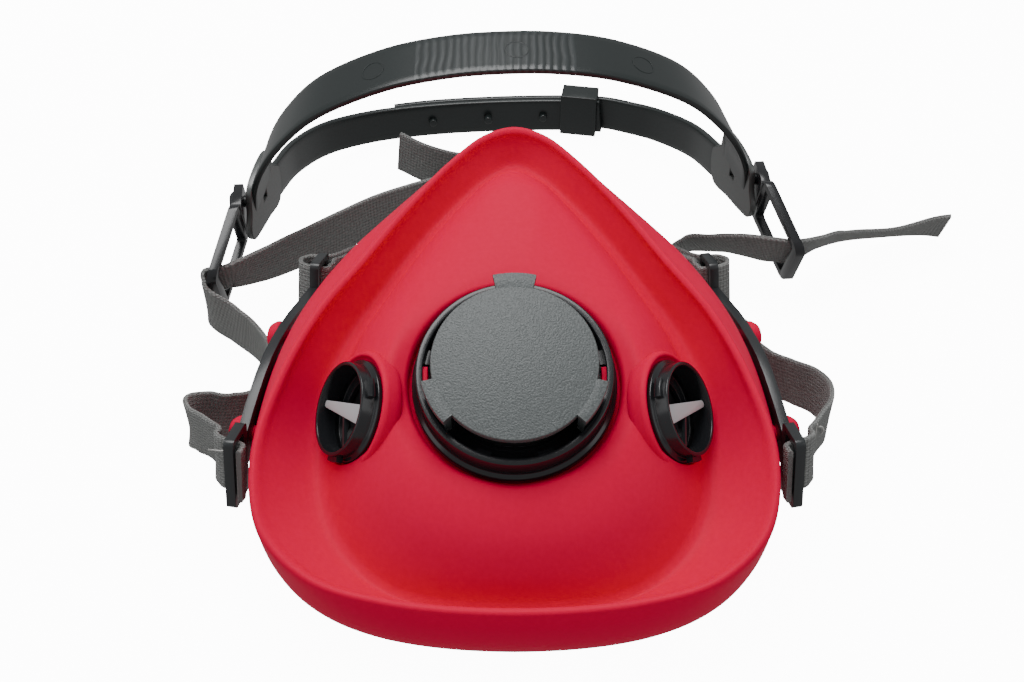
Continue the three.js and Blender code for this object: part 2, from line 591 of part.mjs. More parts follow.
// Points of a loop round a leaning post, each with the lean that keeps the webbing along the post.
function loopPoints(side, outline, [along, up, , , lean]) {
  const slope = THREE.MathUtils.degToRad(lean);
  return outline.map(([run, out], i) => {
    const [before, after] = [outline[Math.max(i - 1, 0)], outline[Math.min(i + 1, outline.length - 1)]];
    const step = [after[0] - before[0], after[1] - before[1]];
    const place = new THREE.Vector3(along + run * Math.cos(slope), up - run * Math.sin(slope), out);
    return [...place.applyMatrix4(barMatrix(side)).toArray(), (-side * lean * step[1]) / Math.hypot(...step)];
  });
}

// Left head strap: from the lower post out to a side loop, back along the cheek, round the
// left hanger's bottom bar and across the cradle to its free end.
const HEAD_STRAP_LEFT = [[-75.5, 1.5, 23.4], [-80, 6, 21.8], [-81.6, 10.2, 20], [-79.3, 14, 17.6],
  [-74.2, 16.8, 14.6], [-69, 20.6, 11.8], [-65.8, 27, 9.6], [-65, 35, 8.6], [-67, 43.5, 8.4], [-71.5, 50, 8.8],
  [-77.5, 54.5, 10.6], [-84.3, 58.5, 13.6], [-86, 62, 14.9], [-85.9, 64.9, 16.4, 12], [-83.4, 66.4, 17, 23],
  [-81, 67, 17.2, 25], [-78.3, 68.4, 17.4, 23], [-72, 75, 14.8, 16], [-63.5, 86, 10.4, 7], [-52, 97, 8.2],
  [-41, 105, 8.2], [-25, 113, 8.2], [-14, 118, 8.2], [-8.6, 121.3, 8.2], [-10.5, 124.8, 8.2],
  [-17, 124.6, 8.6], [-27, 127.5, 9.6], [-36, 132.5, 10.8]];

// Right head strap: the same side loop, then flat on the table under the neck strap, and out
// through the right hanger.
const HEAD_STRAP_RIGHT = [[75, 3, 23.2], [78.6, 9.6, 21.4], [79.8, 17, 19], [78, 23.6, 16.6], [73.6, 29.4, 14],
  [68.6, 35.2, 11.6], [65, 43, 9], [61.5, 50.4, 7.2, 32], [56.5, 56.5, 4, 68], [51, 62, 1.3, 88],
  [45.5, 70, 1.2, 90], [42.6, 78.6, 2.8, 76], [44, 86, 7.4, 36], [51, 88.6, 10.4, 34], [59, 86, 13, 36],
  [65.5, 82.8, 15, 30], [70.5, 80.2, 16.3, 25], [75.3, 78.4, 17.2, 25], [78.9, 78, 17, 25],
  [85, 80.7, 16.2, 30], [91.5, 86.6, 13.4, 38], [99.5, 92, 10.6, 42], [111, 96.4, 8.2, 45],
  [124, 100.3, 6.7, 45], [129.7, 100.5, 6.7, 45]];
webbing("head_strap_left", [...loopPoints(-1, LOWER_LOOP, LOWER_FRAME), ...HEAD_STRAP_LEFT], 120);
webbing("head_strap_right", [...loopPoints(1, LOWER_LOOP, LOWER_FRAME), ...HEAD_STRAP_RIGHT], 110);

const NECK_REST = [[43.5, 76.2, 13.6], [36.5, 79.4, 12], [25, 81.3, 12], [15, 82.4, 12], [9, 82.6, 12]];
const CLIP = [82.6, 12]; // the neck strap's run at the middle: y and z
for (const [label, side] of [["left", -1], ["right", 1]]) {
  const run = NECK_REST.map(([x, y, z]) => [side * x, y, z]);
  webbing(`neck_strap_${label}`, [...loopPoints(side, UPPER_LOOP, UPPER_FRAME), ...run], 50);
}

// ---------------------------------------------------------------- neck clip

// A box between two corners given relative to the middle of the clip.
function block([x0, y0, z0], [x1, y1, z1]) {
  const made = new THREE.BoxGeometry(x1 - x0, y1 - y0, z1 - z0);
  return made.translate((x0 + x1) / 2, (y0 + y1) / 2 + CLIP[0], (z0 + z1) / 2 + CLIP[1]);
}

function clipHook() {
  const pocket = solid(block([-14, -0.95, -7.9], [-5, 0.95, 7.9]));
  const arm = [block([-3.4, -3.7, -3], [-1.4, 1, 3]), block([-3.4, -3.7, -3], [5.9, -1.7, 3])];
  const end = [block([4.1, -3.7, -3], [5.9, 3, 3]), block([1.9, 1.6, -3], [5.9, 3, 3])];
  return shape(join(block([-12.5, -2, -9.4], [-1.4, 2, 9.4]), ...arm, ...end).subtract(pocket));
}

function clipEye() {
  const pocket = solid(block([5, -0.95, -7.9], [16, 0.95, 7.9]).translate(3.3, 0, 0));
  const body = join(block([1, -1.2, -9.4], [10, 1.2, 9.4]), block([7.2, -2, -9.4], [15.5, 2, 9.4]));
  return shape(body.subtract(solid(block([3.3, -3, -4], [6.7, 3, 4]))).subtract(pocket));
}
add(root, "neck_clip_hook", clipHook(), BLACK);
add(root, "neck_clip_eye", clipEye(), BLACK);

export default root;
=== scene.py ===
"""Looks of the half-face respirator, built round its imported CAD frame."""
import math

import bmesh
import bpy
import numpy as np
from mathutils import Matrix, Vector


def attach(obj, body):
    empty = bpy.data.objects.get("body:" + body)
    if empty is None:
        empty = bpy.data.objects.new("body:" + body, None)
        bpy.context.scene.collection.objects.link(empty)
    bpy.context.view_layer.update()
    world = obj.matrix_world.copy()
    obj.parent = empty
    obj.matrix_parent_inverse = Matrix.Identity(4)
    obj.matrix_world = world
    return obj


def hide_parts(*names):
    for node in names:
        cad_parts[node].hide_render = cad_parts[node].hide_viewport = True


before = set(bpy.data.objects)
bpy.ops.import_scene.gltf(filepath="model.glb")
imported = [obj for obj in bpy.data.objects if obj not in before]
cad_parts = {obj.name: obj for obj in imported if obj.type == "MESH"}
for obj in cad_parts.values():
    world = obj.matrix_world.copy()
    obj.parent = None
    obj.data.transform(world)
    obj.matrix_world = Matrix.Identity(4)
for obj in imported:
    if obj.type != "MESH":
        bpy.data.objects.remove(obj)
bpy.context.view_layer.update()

MM = 0.001
# Millimetre constants below are in the row frame: the mask's own middle is at x = 0 and its
# valve axis crosses the lip plane at y = 0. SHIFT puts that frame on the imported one.
SHIFT = Matrix.Translation((-21.1, -55.8, 0))
TILT = math.radians(20)
LIP_HEIGHT = 41
MASK = SHIFT @ Matrix.Translation((0, 0, LIP_HEIGHT)) @ Matrix.Rotation(TILT, 4, "X")
CRADLE = SHIFT @ Matrix.Translation((-4, 99.5, 0)) @ Matrix.Rotation(math.radians(4), 4, "Z")

SIDES = (("left", -1), ("right", 1))
scene = bpy.context.scene


# ------------------------------------------------------------------ materials

def nodes_of(name):
    mat = bpy.data.materials.new(name)
    mat.use_nodes = True
    tree = mat.node_tree
    bsdf = tree.nodes["Principled BSDF"]
    return mat, tree, bsdf


def new_node(tree, kind, **values):
    node = tree.nodes.new(kind)
    for key, value in values.items():
        if key in node.inputs:
            node.inputs[key].default_value = value
        else:
            setattr(node, key, value)
    return node


def grain(tree, bsdf, scale, strength, distance, detail=3):
    """Fine noise bump on a shader."""
    place = tree.nodes.new("ShaderNodeTexCoord")
    noise = new_node(tree, "ShaderNodeTexNoise", Scale=scale, Detail=detail)
    bump = new_node(tree, "ShaderNodeBump", Strength=strength, Distance=distance)
    tree.links.new(place.outputs["Object"], noise.inputs["Vector"])
    tree.links.new(noise.outputs["Fac"], bump.inputs["Height"])
    tree.links.new(bump.outputs["Normal"], bsdf.inputs["Normal"])
    return noise


def varied(tree, bsdf, fac, low, high):
    """Lets a 0-1 value drive the base colour between two colours."""
    ramp = tree.nodes.new("ShaderNodeMix")
    ramp.data_type = "RGBA"
    ramp.inputs["A"].default_value = (*low, 1)
    ramp.inputs["B"].default_value = (*high, 1)
    tree.links.new(fac, ramp.inputs["Factor"])
    tree.links.new(ramp.outputs["Result"], bsdf.inputs["Base Color"])


def plain(name, colour, roughness, specular=0.5, bump=None):
    """One colour. bump is the scale, strength and distance of its grain."""
    mat, tree, bsdf = nodes_of(name)
    bsdf.inputs["Base Color"].default_value = (*colour, 1)
    bsdf.inputs["Roughness"].default_value = roughness
    bsdf.inputs["Specular IOR Level"].default_value = specular
    if bump:
        grain(tree, bsdf, *bump)
    return mat


def silicone():
    """Matt red rubber that lets a little light in at its edges."""
    mat, tree, bsdf = nodes_of("red_silicone")
    bsdf.inputs["Roughness"].default_value = 0.46
    bsdf.inputs["Specular IOR Level"].default_value = 0.05
    bsdf.inputs["Subsurface Weight"].default_value = 0.08
    bsdf.inputs["Subsurface Radius"].default_value = (0.006, 0.0012, 0.0012)
    bsdf.inputs["Subsurface Scale"].default_value = 1.0
    noise = grain(tree, bsdf, 900, 0.06, 0.0002)
    varied(tree, bsdf, noise.outputs["Fac"], (0.68, 0.0, 0.045), (0.76, 0.0, 0.056))
    return mat


def cover_plastic():
    """Charcoal moulding with a fine grain bumped into its spark-eroded face; its lighter specks are painted
    sparkle, the glints of that face.
    """
    mat, tree, bsdf = nodes_of("charcoal_grain_and_sparkle")
    bsdf.inputs["Roughness"].default_value = 0.42
    noise = grain(tree, bsdf, 2200, 0.5, 0.0003, detail=2)
    varied(tree, bsdf, noise.outputs["Fac"], (0.022, 0.027, 0.027), (0.125, 0.14, 0.14))
    return mat


# Where along the crown band lies its rippled middle, bumped and lightened by a painted highlight.
FLOW_SHEEN_MIDDLE = -0.026  # metres, along the crown band
FLOW_SHEEN_REACH = 0.0215
RIB_PITCH = 1.1  # of the webbing, in millimetres
PICK_PITCH = 1.05


def crown_plastic():
    """Cradle plastic with faint flow-line ripples across the middle of the band; their lighter colour is a
    painted highlight, the glossy sheen along the ripples.
    """
    mat = plain("crown_plastic", (0.014, 0.019, 0.019), 0.3, 0.5)
    tree = mat.node_tree
    bsdf = tree.nodes["Principled BSDF"]
    place = tree.nodes.new("ShaderNodeTexCoord")
    wave = new_node(tree, "ShaderNodeTexWave", bands_direction="X", Distortion=5.0, Detail=1.5)
    wave.inputs["Scale"].default_value = 150
    wave.inputs["Detail Scale"].default_value = 0.5
    tree.links.new(place.outputs["Object"], wave.inputs["Vector"])
    split = tree.nodes.new("ShaderNodeSeparateXYZ")
    tree.links.new(place.outputs["Object"], split.inputs[0])
    middle = new_node(tree, "ShaderNodeMapRange", interpolation_type="SMOOTHSTEP")
    span = new_node(tree, "ShaderNodeMath", operation="COMPARE")
    span.inputs[1].default_value = FLOW_SHEEN_MIDDLE
    span.inputs[2].default_value = FLOW_SHEEN_REACH
    tree.links.new(split.outputs["X"], span.inputs[0])
    tree.links.new(span.outputs[0], middle.inputs["Value"])
    ripple_and_sheen = new_node(tree, "ShaderNodeMath", operation="MULTIPLY")
    tree.links.new(wave.outputs["Fac"], ripple_and_sheen.inputs[0])
    tree.links.new(middle.outputs["Result"], ripple_and_sheen.inputs[1])
    # Painted highlight: the ripples lighten the base colour as if they catch the light; the bump below is the
    # ripples' real relief.
    varied(tree, bsdf, ripple_and_sheen.outputs[0], (0.014, 0.019, 0.019), (0.034, 0.04, 0.041))
    bump = new_node(tree, "ShaderNodeBump", Strength=0.3, Distance=0.0003)
    tree.links.new(ripple_and_sheen.outputs[0], bump.inputs["Height"])
    tree.links.new(bump.outputs["Normal"], bsdf.inputs["Normal"])
    return mat


def webbing():
    """Ribbed elastic with painted shade in the grooves of its weave: u runs along the strap and v across it,
    both in millimetres.
    """
    mat, tree, bsdf = nodes_of("grey_webbing")
    bsdf.inputs["Roughness"].default_value = 0.92
    bsdf.inputs["Specular IOR Level"].default_value = 0.2
    uv = new_node(tree, "ShaderNodeUVMap", uv_map="strap")
    split = tree.nodes.new("ShaderNodeSeparateXYZ")
    tree.links.new(uv.outputs["UV"], split.inputs[0])

    def math_node(kind, a, b=None):
        node = new_node(tree, "ShaderNodeMath", operation=kind)
        for socket, value in zip(node.inputs, (a, b)):
            if value is None:
                continue
            if isinstance(value, (int, float)):
                socket.default_value = value
            else:
                tree.links.new(value, socket)
        return node.outputs[0]

    u, v = split.outputs["X"], split.outputs["Y"]
    ribs = math_node("SINE", math_node("MULTIPLY", v, 2 * math.pi / RIB_PITCH))
    slant = math_node("MULTIPLY", math_node("SIGN", ribs), math_node("MULTIPLY", ribs, 0.55))
    turns = math_node("MULTIPLY", math_node("ADD", u, slant), 2 * math.pi / PICK_PITCH)
    picks = math_node("SINE", turns)
    height = math_node("ADD", math_node("MULTIPLY", ribs, 0.5), math_node("MULTIPLY", picks, 0.5))
    bump = new_node(tree, "ShaderNodeBump", Strength=0.7, Distance=0.0005)
    tree.links.new(height, bump.inputs["Height"])
    tree.links.new(bump.outputs["Normal"], bsdf.inputs["Normal"])
    speck = new_node(tree, "ShaderNodeTexNoise", Scale=1.6, Detail=4)
    tree.links.new(uv.outputs["UV"], speck.inputs["Vector"])
    # Painted shade: the colour darkens where the weave is low, in its grooves; the noise flecks added below
    # are the yarn's own mélange.
    groove_shade = math_node("MULTIPLY_ADD", height, 0.2)
    groove_shade.node.inputs[2].default_value = 0.5
    flecks = math_node("MULTIPLY", math_node("SUBTRACT", speck.outputs["Fac"], 0.5), 0.8)
    flecks_and_groove_shade = math_node("ADD", groove_shade, flecks)
    varied(tree, bsdf, math_node("MAXIMUM", math_node("MINIMUM", flecks_and_groove_shade, 1.0), 0.0),
           (0.1, 0.103, 0.101), (0.43, 0.435, 0.425))
    return mat


MATERIALS = {
    "silicone": silicone(),
    "black": plain("black_plastic", (0.012, 0.013, 0.015), 0.2, 0.5, (700, 0.05, 0.0002)),
    "satin": plain("black_satin", (0.018, 0.021, 0.023), 0.32, 0.5, (1500, 0.12, 0.0002)),
    "cover": cover_plastic(),
    # The light grey of the port wedges is a painted highlight, not the colour of the part.
    "grey": plain("grey_plastic", (0.42, 0.43, 0.44), 0.35),
    "cradle": plain("cradle_plastic", (0.014, 0.019, 0.019), 0.3, 0.5, (900, 0.06, 0.0003)),
    "crown": crown_plastic(),
    # The side plates' strong shine is real gloss; their lighter base colour than the rest of the cradle is
    # painted reflection.
    "plate": plain("plate_plastic_painted_sheen", (0.05, 0.057, 0.055), 0.36, 1.0),
    "flap": plain("flap_rubber", (0.004, 0.004, 0.005), 0.5),
    "webbing": webbing(),
    "thread": plain("thread", (0.5, 0.49, 0.47), 0.8),
}


# ------------------------------------------------------------------ mesh helpers

def piece(name, verts, faces, look, body="mask", sharp=35, stands_for=(), uv=None):
    """A mesh from millimetre points of the row frame, on a body and in a material."""
    mesh = bpy.data.meshes.new(name)
    mesh.from_pydata([tuple(c * MM for c in p) for p in verts], [], faces)
    mesh.validate()
    shell = bmesh.new()
    shell.from_mesh(mesh)
    bmesh.ops.recalc_face_normals(shell, faces=shell.faces)
    shell.to_mesh(mesh)
    shell.free()
    made = bpy.data.objects.new(name, mesh)
    scene.collection.objects.link(made)
    if uv is not None:
        layer = mesh.uv_layers.new(name="strap")
        for loop in mesh.loops:
            layer.data[loop.index].uv = uv[loop.vertex_index]
    return dress(made, look, body, sharp, stands_for)


def dress(made, look, body, sharp=35, stands_for=()):
    """Gives an object its material, shading, body and the nodes that it replaces."""
    mesh = made.data
    mesh.materials.clear()
    mesh.materials.append(MATERIALS[look])
    mesh.shade_smooth()
    mesh.set_sharp_from_angle(angle=math.radians(sharp))
    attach(made, body)
    if stands_for:
        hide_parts(*stands_for)
    return made


def bake(made):
    """Keeps the result of an object's modifiers as its mesh."""
    graph = bpy.context.evaluated_depsgraph_get()
    mesh = bpy.data.meshes.new_from_object(made.evaluated_get(graph))
    made.modifiers.clear()
    made.data = mesh
    return made


def bevelled(made, width):
    """Rounds an object's sharp edges by a width in millimetres."""
    mod = made.modifiers.new("bevel", "BEVEL")
    mod.width = width * MM
    mod.segments = 3
    mod.limit_method = "ANGLE"
    mod.angle_limit = math.radians(40)
    mod.use_clamp_overlap = True
    return bake(made)


def joined(parts):
    """Several [verts, faces] as one."""
    verts, faces = [], []
    for v, f in parts:
        faces += [tuple(i + len(verts) for i in face) for face in f]
        verts += list(v)
    return verts, faces


def moved(part, matrix):
    """A [verts, faces] pair through a matrix, turned right side out if it is mirrored."""
    verts, faces = part
    flip = matrix.determinant() < 0
    out = [tuple(matrix @ Vector(p)) for p in verts]
    return out, [tuple(reversed(f)) for f in faces] if flip else faces


def grid(rows, closed_rows, closed_columns=True, caps=True):
    """Quads over rows of points; rows are closed loops when closed_columns is True."""
    n, m = len(rows), len(rows[0])
    verts = [tuple(p) for row in rows for p in row]
    faces = []
    for j in range(n if closed_rows else n - 1):
        for i in range(m if closed_columns else m - 1):
            a, b = j * m + i, j * m + (i + 1) % m
            c, d = ((j + 1) % n) * m + i, ((j + 1) % n) * m + (i + 1) % m
            faces.append((a, b, d, c))
    if caps and not closed_rows:
        faces.append(tuple(reversed(range(m))))
        faces.append(tuple((n - 1) * m + i for i in range(m)))
    return verts, faces


def rounded(profile, radius, steps=3):
    """Rounds the corners of a closed [x, y] outline."""
    out = []
    count = len(profile)
    for i, p in enumerate(profile):
        a, b = Vector(profile[i - 1]), Vector(profile[(i + 1) % count])
        p = Vector(p)
        if p.x < 1e-6:
            out.append((p.x, p.y))
            continue
        r = min(radius, (a - p).length * 0.45, (b - p).length * 0.45)
        start, end = p + (a - p).normalized() * r, p + (b - p).normalized() * r
        for k in range(steps + 1):
            t = k / steps
            q = start * (1 - t) ** 2 + p * 2 * t * (1 - t) + end * t ** 2
            out.append((q.x, q.y))
    return out


def lathe(profile, radius=0.25, segments=120):
    """A closed [radius, height] outline turned round +Z, with rounded corners."""
    outline = rounded(profile, radius)
    rows = []
    for x, z in outline:
        x = max(x, 0.01)
        rows.append([(x * math.sin(t), x * math.cos(t), z)
                     for t in (2 * math.pi * k / segments for k in range(segments))])
    verts, faces = grid(rows, True)
    return verts, [tuple(reversed(f)) for f in faces]


def ring(inner, outer, low, high, radius, segments):
    return lathe([(inner, low), (outer, low), (outer, high), (inner, high)], radius, segments)


def rod(radius, low, high, round_off=0.2):
    return lathe([(0, low), (radius, low), (radius, high), (0, high)], round_off, 40)


def arc_wall(inner, outer, start, end, low, high, chamfer=0.3):
    """A wall along an arc round +Z; angles are in degrees from +Y towards +X."""
    section = rounded([(inner, low), (outer, low), (outer, high), (inner, high)], chamfer, 2)
    rows = []
    steps = 16
    for k in range(steps + 1):
        t = math.radians(start + (end - start) * k / steps)
        rows.append([(r * math.sin(t), r * math.cos(t), z) for r, z in section])
    verts, faces = grid(rows, False)
    return verts, [tuple(reversed(f)) for f in faces]


def box(low, high):
    x, y, z = zip(low, high)
    verts = [(x[i & 1], y[i >> 1 & 1], z[i >> 2 & 1]) for i in range(8)]
    return verts, [(0, 2, 3, 1), (4, 5, 7, 6), (0, 1, 5, 4), (2, 6, 7, 3), (0, 4, 6, 2), (1, 3, 7, 5)]


def catmull(points, count, closed=False):
    """Centripetal Catmull-Rom points through the control points."""
    p = np.asarray(points, float)
    n = len(p)
    if closed:
        ext = np.vstack([p[-1], p, p[0], p[1]])
    else:
        ext = np.vstack([2 * p[0] - p[1], p, 2 * p[-1] - p[-2]])
    spans = n if closed else n - 1
    where = np.linspace(0, spans, count, endpoint=not closed)
    out = []
    for s in where:
        i = min(int(s), spans - 1)
        f = s - i
        q = ext[i:i + 4]
        d = [max(np.linalg.norm(q[k + 1][:3] - q[k][:3]), 1e-6) ** 0.5 for k in range(3)]
        t0, t1 = 0.0, d[0]
        t2, t3 = t1 + d[1], t1 + d[1] + d[2]
        t = t1 + f * (t2 - t1)
        a1 = (t1 - t) / (t1 - t0) * q[0] + (t - t0) / (t1 - t0) * q[1]
        a2 = (t2 - t) / (t2 - t1) * q[1] + (t - t1) / (t2 - t1) * q[2]
        a3 = (t3 - t) / (t3 - t2) * q[2] + (t - t2) / (t3 - t2) * q[3]
        b1 = (t2 - t) / (t2 - t0) * a1 + (t - t0) / (t2 - t0) * a2
        b2 = (t3 - t) / (t3 - t1) * a2 + (t - t1) / (t3 - t1) * a3
        out.append((t2 - t) / (t2 - t1) * b1 + (t - t1) / (t2 - t1) * b2)
    return np.array(out)


def even(points, step):
    """A polyline resampled at an even step, and the run at each of its points."""
    gaps = np.linalg.norm(np.diff(points[:, :3], axis=0), axis=1)
    run = np.concatenate([[0], np.cumsum(gaps)])
    count = max(2, int(run[-1] / step) + 1)
    at = np.linspace(0, run[-1], count)
    return np.column_stack([np.interp(at, run, points[:, k]) for k in range(points.shape[1])]), at


BACK_FACE_UV = 40  # millimetres that set the two faces of a strap apart in its weave


def band_section(width, thickness, across, edge):
    """The outline of a strip: two flat faces of so many steps, and round edges."""
    half_w, half_t = width / 2, thickness / 2
    turn = [math.radians(a) for a in (60, 30, 0, -30, -60)]
    flat = [-half_w + edge + (width - 2 * edge) * k / across for k in range(across + 1)]
    section = [(w, half_t) for w in flat]
    section += [(half_w - edge + edge * math.cos(a), half_t * math.sin(a)) for a in turn]
    section += [(-w, -half_t) for w in flat]
    section += [(-half_w + edge - edge * math.cos(a), -half_t * math.sin(a)) for a in turn]
    return section


def band(points, width, thickness, step=1.0, across=10, edge=0.4, fixed=None):
    """A strip along [x, y, z, lean] points. Gives verts, faces and [along, across] millimetres.
    fixed gives the width direction at a point, instead of upright with a lean."""
    pts = [(*p, 0.0)[:4] if len(p) < 4 else tuple(p) for p in points]
    line, along = even(catmull(pts, len(pts) * 24), step)
    tangent = np.gradient(line[:, :3], axis=0)
    tangent /= np.linalg.norm(tangent, axis=1)[:, None]
    section = band_section(width, thickness, across, edge)
    rows, uv = [], []
    for p, t, s in zip(line, tangent, along):
        if fixed is not None:
            wide = np.asarray(fixed(p), float)
            wide = wide - t * wide.dot(t)
            wide /= np.linalg.norm(wide)
        else:
            upright = np.array([0, 0, 1.0]) - t * t[2]
            upright /= np.linalg.norm(upright)
            side = np.cross(t, upright)
            lean = math.radians(p[3])
            wide = upright * math.cos(lean) + side * math.sin(lean)
        out = np.cross(t, wide)
        rows.append([p[:3] + wide * w + out * h for w, h in section])
        uv += [(s, w + (BACK_FACE_UV if h < 0 else 0)) for w, h in section]
    verts, faces = grid(rows, False)
    return verts, faces, uv


# ------------------------------------------------------------------ facepiece

SPOKES = [0, 6, 14, 28, 46, 66, 86, 104, 120, 134, 150, 180]
SHOULDER = [54, 53, 47, 38.5, 33, 30.5, 30, 30, 30.5, 31.5, 31.5, 31.5]
CREASE = [67, 64, 58, 50.5, 45.5, 45, 46.5, 48.5, 52, 54, 54, 50.5]
LIP = [75, 73, 67, 58.5, 53, 53.5, 57, 63.3, 67.5, 65.5, 59, 53.5]
WALL = [74, 73, 70, 65, 62, 61, 62, 65, 68.3, 67.8, 63.5, 58.2]
SEAL = [68, 67.5, 66, 63, 60.5, 59, 59.5, 61, 62.5, 61.5, 58, 54.5]
SEAL_HEIGHT = [37, 36, 32, 21, 8, 1, 0, 0, 0, 0, 0, 0]
AROUND = 288
BETWEEN_ROWS = 4
SKIN = 2.4
VALVE_SEAT = 3.5
VALVE_HOLE = 19.5


def mix(a, b, t):
    return a + (b - a) * t


def level_at(height, u):
    """The mask-frame level that lies at a height over the table, u towards the nose."""
    return (height - LIP_HEIGHT - u * math.sin(TILT)) / math.cos(TILT)


def loop(place):
    """A closed line round the mask from each spoke's [radius, level], kept above the table."""
    half = []
    for i, degrees in enumerate(SPOKES):
        a = math.radians(degrees)
        r, n = place(i, a)
        half.append((r * math.sin(a), r * math.cos(a), n))
    other = [(-x, y, z) for x, y, z in reversed(half[1:-1])]
    line = catmull(half + other, AROUND, closed=True)
    for p in line:
        p[2] = max(p[2], level_at(0, p[1]))
    return line


def shoulder_level(a):
    return 8.2 - 5.2 * max(0, math.cos(a)) ** 2 - 1.4 * max(0, -math.cos(a)) ** 2


def crease_level(a):
    return -7.5 - 3.5 * math.sin(a) ** 2


def seal_loop(inset, rise):
    def place(i, a):
        r = SEAL[i] - inset
        return r, level_at(SEAL_HEIGHT[i] + rise, r * math.cos(a))
    return loop(place)


def wall_low(inset):
    def place(i, a):
        back = level_at(SEAL_HEIGHT[i], SEAL[i] * math.cos(a))
        return mix(WALL[i], SEAL[i], 0.45) + 0.6 - inset, mix(-14, back, 0.5)
    return loop(place)


def shell_rows():
    """The outside from the valve to the seal, then the inside back to the valve."""
    def slope(t, tn, rise, inset=0):
        return loop(lambda i, a: (mix(SHOULDER[i], CREASE[i], t) - inset,
                                  mix(shoulder_level(a), crease_level(a), tn) + rise))

    def flange(t, tn, drop=0):
        return loop(lambda i, a: (mix(CREASE[i], LIP[i], t), crease_level(a) * tn - drop))

    return [
        loop(lambda i, a: (VALVE_HOLE, VALVE_SEAT)),
        loop(lambda i, a: (24.6, VALVE_SEAT)),
        loop(lambda i, a: (24.9, VALVE_SEAT + 0.3)),
        loop(lambda i, a: (25.1, VALVE_SEAT + 2.2)),
        loop(lambda i, a: (25.7, VALVE_SEAT + 3.3)),
        loop(lambda i, a: (26.6, VALVE_SEAT + 3.7)),
        loop(lambda i, a: (SHOULDER[i], shoulder_level(a))),
        slope(0.35, 0.3, 1.6),
        slope(0.7, 0.7, 1.7),
        loop(lambda i, a: (CREASE[i] - 2.6, crease_level(a) + 2.3)),
        loop(lambda i, a: (CREASE[i] - 1.1, crease_level(a) + 0.95)),
        loop(lambda i, a: (CREASE[i] + 0.9, crease_level(a) + 0.45)),
        flange(0.4, 0.7),
        flange(0.78, 0.24),
        loop(lambda i, a: (LIP[i] - 1.6, -0.55)),
        loop(lambda i, a: (LIP[i] - 0.6, 0)),
        loop(lambda i, a: (LIP[i] + 0.1, -0.25)),
        loop(lambda i, a: (LIP[i] + 0.6, -1.1)),
        loop(lambda i, a: (mix(LIP[i] + 0.8, WALL[i], 0.55), -6)),
        loop(lambda i, a: (WALL[i], -14)),
        wall_low(0),
        seal_loop(-0.3, 4),
        seal_loop(1, 0.9),
        seal_loop(2.2, 0),
        seal_loop(4.2, 0),
        seal_loop(9, 2.4),
        seal_loop(15, 8),
        seal_loop(14.4, 9.6),
        seal_loop(9, 4.3),
        seal_loop(4.8, 2.2),
        seal_loop(2.3, 4.8),
        wall_low(SKIN),
        loop(lambda i, a: (WALL[i] - SKIN, -14)),
        flange(0.72, 0.4, SKIN),
        loop(lambda i, a: (CREASE[i] - 0.5, crease_level(a) - SKIN)),
        slope(0.6, 0.7, -0.2, 1),
        loop(lambda i, a: (SHOULDER[i] - 1.8, shoulder_level(a) - SKIN)),
        loop(lambda i, a: (25, VALVE_SEAT - SKIN)),
        loop(lambda i, a: (VALVE_HOLE, VALVE_SEAT - SKIN)),
    ]


PORT_SEAT = (37.5, -4.4, -0.9)
PORT_AXIS = (0.814, -0.044, 0.577)


def basis(x, y, z, at):
    m = Matrix((x, y, z)).transposed().to_4x4()
    m.translation = at
    return m


def port_matrix(side):
    """A port's own frame in the row frame: +Z out of the port, +Y to the nose."""
    axis = Vector((PORT_AXIS[0] * side, *PORT_AXIS[1:])).normalized()
    nose = (Vector((0, 1, 0)) - axis * axis.y).normalized()
    seat = Vector((PORT_SEAT[0] * side, *PORT_SEAT[1:]))
    return MASK @ basis(nose.cross(axis), nose, axis, seat)


BAR_TURN = math.radians(10.7)
BAR_X = 66.3
STUDS = [(1, 26.2, 7), (33, 28, 10)]  # along the bar, up, and how far the root reaches in


def bar_matrix(side):
    """A bar's own frame: x along the plate, y up and z out from its face."""
    along = Vector((-math.sin(BAR_TURN) * side, math.cos(BAR_TURN), 0))
    out = Vector((math.cos(BAR_TURN) * side, math.sin(BAR_TURN), 0))
    return SHIFT @ basis(along, Vector((0, 0, 1)), out, Vector((BAR_X * side, 0, 0)))


def facepiece():
    """The rubber shell, with a socket cut into each cheek for its port."""
    rows = np.array(shell_rows())
    count = rows.shape[0] * BETWEEN_ROWS
    fine = np.array([catmull(rows[:, i], count, closed=True) for i in range(rows.shape[1])])
    fine = fine.transpose(1, 0, 2)
    shell = moved(grid(list(fine), True), MASK)
    made = piece("facepiece_shell", *shell, "silicone", sharp=60, stands_for=["facepiece"])
    for side in (-1, 1):
        cut = lathe([(0, -8.6), (10.7, -8.6), (10.7, 0), (13, 0), (13, 6), (0, 6)], 0.01, 96)
        tool = piece("tool", *moved(cut, port_matrix(side)), "silicone")
        mod = made.modifiers.new("cut", "BOOLEAN")
        mod.operation, mod.solver, mod.object, mod.use_self = "DIFFERENCE", "EXACT", tool, True
        bake(made)
        bpy.data.objects.remove(tool)
    made.data.shade_smooth()
    made.data.set_sharp_from_angle(angle=math.radians(50))


facepiece()
PORT_BOSS = [(12.2, -4), (14.4, -4), (14.8, -2.6), (14.8, 0.1), (14.3, 0.9), (13.6, 1.0), (13, 0.2),
             (12.2, 0.1)]
for label, side in SIDES:
    piece(f"port_boss_{label}", *moved(lathe(PORT_BOSS, 0.5), port_matrix(side)), "silicone")
    for i, (along, up, reach) in enumerate(STUDS):
        head = [(0, -reach), (3.2, -reach), (2, -3.6), (2, 0.3), (3.9, 0.3), (3.9, 1.6), (2.6, 3.4), (0, 3.9)]
        place = bar_matrix(side) @ Matrix.Translation((along, up, 0))
        piece(f"stud_{label}_{i + 1}", *moved(lathe(head, 0.7, 48), place), "silicone", sharp=60)


